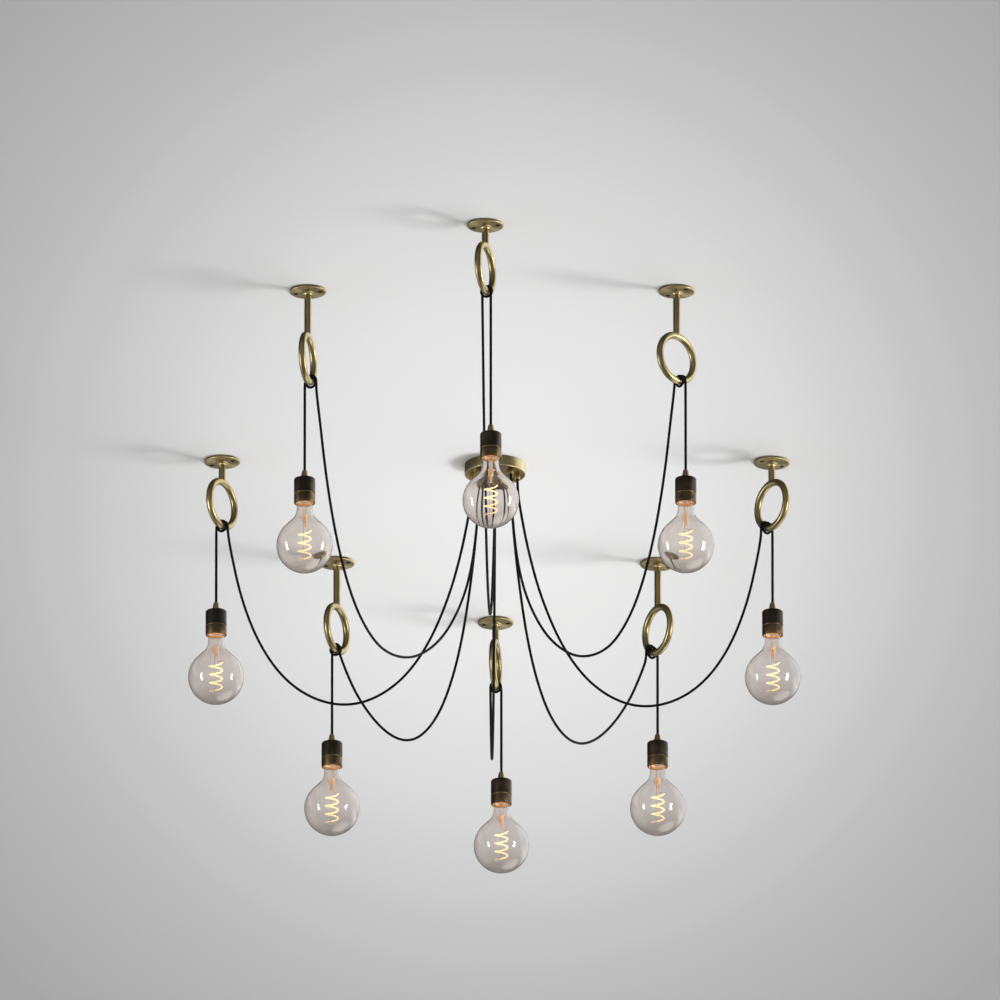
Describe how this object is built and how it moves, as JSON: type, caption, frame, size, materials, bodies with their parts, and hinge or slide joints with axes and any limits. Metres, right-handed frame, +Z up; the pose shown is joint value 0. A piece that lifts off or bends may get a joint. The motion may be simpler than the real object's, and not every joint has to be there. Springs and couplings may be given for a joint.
{
  "type": "spider chandelier",
  "caption": "Spider chandelier: a ceiling canopy feeds fabric cords that swag out to ring hooks, turn round each ring and hang down to a lampholder with a clear globe bulb.",
  "frame": {"origin": "middle of the canopy on the ceiling plane, between its two ceiling screw holes", "axes": "+Z up into the ceiling, -Y towards the front, +X to the viewer's right from the front"},
  "size_m": [1.0446, 2.073, 0.5415],
  "materials": {
    "brass": "satin antique brass",
    "steel": "plain zinc",
    "ceramic": "unglazed",
    "lead_sleeve": "smooth",
    "cord": "black braid",
    "bronze": "dark bronze",
    "glass": "clear, slightly smoky"
  },
  "bodies": {
    "chandelier": {"canopy_cover": "brass", "canopy_bracket": "steel", "canopy_screws": "steel", "cord_grips": "brass", "grip_nuts": "brass", "terminal_block": "ceramic", "canopy_leads": "lead_sleeve", "hook_plates": "brass", "hook_rings": "brass", "hook_rods": "brass", "cord_swag_1": "cord", "cord_swag_2": "cord", "cord_swag_3": "cord", "cord_swag_4": "cord", "cord_swag_5": "cord", "cord_swag_6": "cord", "cord_swag_7": "cord", "cord_swag_8": "cord"},
    "pendant_1": {"cord_drop_1": "cord", "lampholder_1": "bronze", "holder_brass_1": "brass"},
    "bulb_1": {"bulb_glass_1": "glass", "bulb_base_1": "steel"},
    "pendant_2": {"cord_drop_2": "cord", "lampholder_2": "bronze", "holder_brass_2": "brass"},
    "bulb_2": {"bulb_glass_2": "glass", "bulb_base_2": "steel"},
    "pendant_3": {"cord_drop_3": "cord", "lampholder_3": "bronze", "holder_brass_3": "brass"},
    "bulb_3": {"bulb_glass_3": "glass", "bulb_base_3": "steel"},
    "pendant_4": {"cord_drop_4": "cord", "lampholder_4": "bronze", "holder_brass_4": "brass"},
    "bulb_4": {"bulb_glass_4": "glass", "bulb_base_4": "steel"},
    "pendant_5": {"cord_drop_5": "cord", "lampholder_5": "bronze", "holder_brass_5": "brass"},
    "bulb_5": {"bulb_glass_5": "glass", "bulb_base_5": "steel"},
    "pendant_6": {"cord_drop_6": "cord", "lampholder_6": "bronze", "holder_brass_6": "brass"},
    "bulb_6": {"bulb_glass_6": "glass", "bulb_base_6": "steel"},
    "pendant_7": {"cord_drop_7": "cord", "lampholder_7": "bronze", "holder_brass_7": "brass"},
    "bulb_7": {"bulb_glass_7": "glass", "bulb_base_7": "steel"},
    "pendant_8": {"cord_drop_8": "cord", "lampholder_8": "bronze", "holder_brass_8": "brass"},
    "bulb_8": {"bulb_glass_8": "glass", "bulb_base_8": "steel"}
  },
  "joints": [
    {"name": "pendant_1_swing", "type": "hinge", "parent": "chandelier", "child": "pendant_1", "pos_m": [-0.00697, -1.18083, -0.13045], "axis": [0.0061, 1, 0], "range_deg": [-20, 20]},
    {"name": "bulb_1_turn", "type": "hinge", "parent": "pendant_1", "child": "bulb_1", "pos_m": [-0.00697, -1.18083, -0.374], "axis": [0, 0, -1], "range_deg": [0, 270]},
    {"name": "pendant_2_swing", "type": "hinge", "parent": "chandelier", "child": "pendant_2", "pos_m": [-0.32108, -0.84279, -0.17128], "axis": [0.3392, 0.9407, 0], "range_deg": [-20, 20]},
    {"name": "bulb_2_turn", "type": "hinge", "parent": "pendant_2", "child": "bulb_2", "pos_m": [-0.32108, -0.84279, -0.332], "axis": [0, 0, -1], "range_deg": [0, 270]},
    {"name": "pendant_3_swing", "type": "hinge", "parent": "chandelier", "child": "pendant_3", "pos_m": [0.32174, -0.85777, -0.17216], "axis": [-0.3344, 0.9424, 0], "range_deg": [-20, 20]},
    {"name": "bulb_3_turn", "type": "hinge", "parent": "pendant_3", "child": "bulb_3", "pos_m": [0.32174, -0.85777, -0.337], "axis": [0, 0, -1], "range_deg": [0, 270]},
    {"name": "pendant_4_swing", "type": "hinge", "parent": "chandelier", "child": "pendant_4", "pos_m": [-0.47589, -0.01913, -0.13025], "axis": [0.999, 0.0436, 0], "range_deg": [-20, 20]},
    {"name": "bulb_4_turn", "type": "hinge", "parent": "pendant_4", "child": "bulb_4", "pos_m": [-0.47589, -0.01913, -0.272], "axis": [0, 0, -1], "range_deg": [0, 270]},
    {"name": "pendant_5_swing", "type": "hinge", "parent": "chandelier", "child": "pendant_5", "pos_m": [0.47375, -0.00129, -0.1291], "axis": [-1, 0.003, 0], "range_deg": [-20, 20]},
    {"name": "bulb_5_turn", "type": "hinge", "parent": "pendant_5", "child": "bulb_5", "pos_m": [0.47375, -0.00129, -0.266], "axis": [0, 0, -1], "range_deg": [0, 270]},
    {"name": "pendant_6_swing", "type": "hinge", "parent": "chandelier", "child": "pendant_6", "pos_m": [-0.28002, 0.49174, -0.174], "axis": [0.4782, -0.8782, 0], "range_deg": [-20, 20]},
    {"name": "bulb_6_turn", "type": "hinge", "parent": "pendant_6", "child": "bulb_6", "pos_m": [-0.28002, 0.49174, -0.328], "axis": [0, 0, -1], "range_deg": [0, 270]},
    {"name": "pendant_7_swing", "type": "hinge", "parent": "chandelier", "child": "pendant_7", "pos_m": [0.27929, 0.51083, -0.17087], "axis": [-0.4624, -0.8866, 0], "range_deg": [-20, 20]},
    {"name": "bulb_7_turn", "type": "hinge", "parent": "pendant_7", "child": "bulb_7", "pos_m": [0.27929, 0.51083, -0.321], "axis": [0, 0, -1], "range_deg": [0, 270]},
    {"name": "pendant_8_swing", "type": "hinge", "parent": "chandelier", "child": "pendant_8", "pos_m": [0.01081, 0.7972, -0.12979], "axis": [-0.0142, -0.9999, 0], "range_deg": [-20, 20]},
    {"name": "bulb_8_turn", "type": "hinge", "parent": "pendant_8", "child": "bulb_8", "pos_m": [0.01081, 0.7972, -0.288], "axis": [0, 0, -1], "range_deg": [0, 270]}
  ]
}
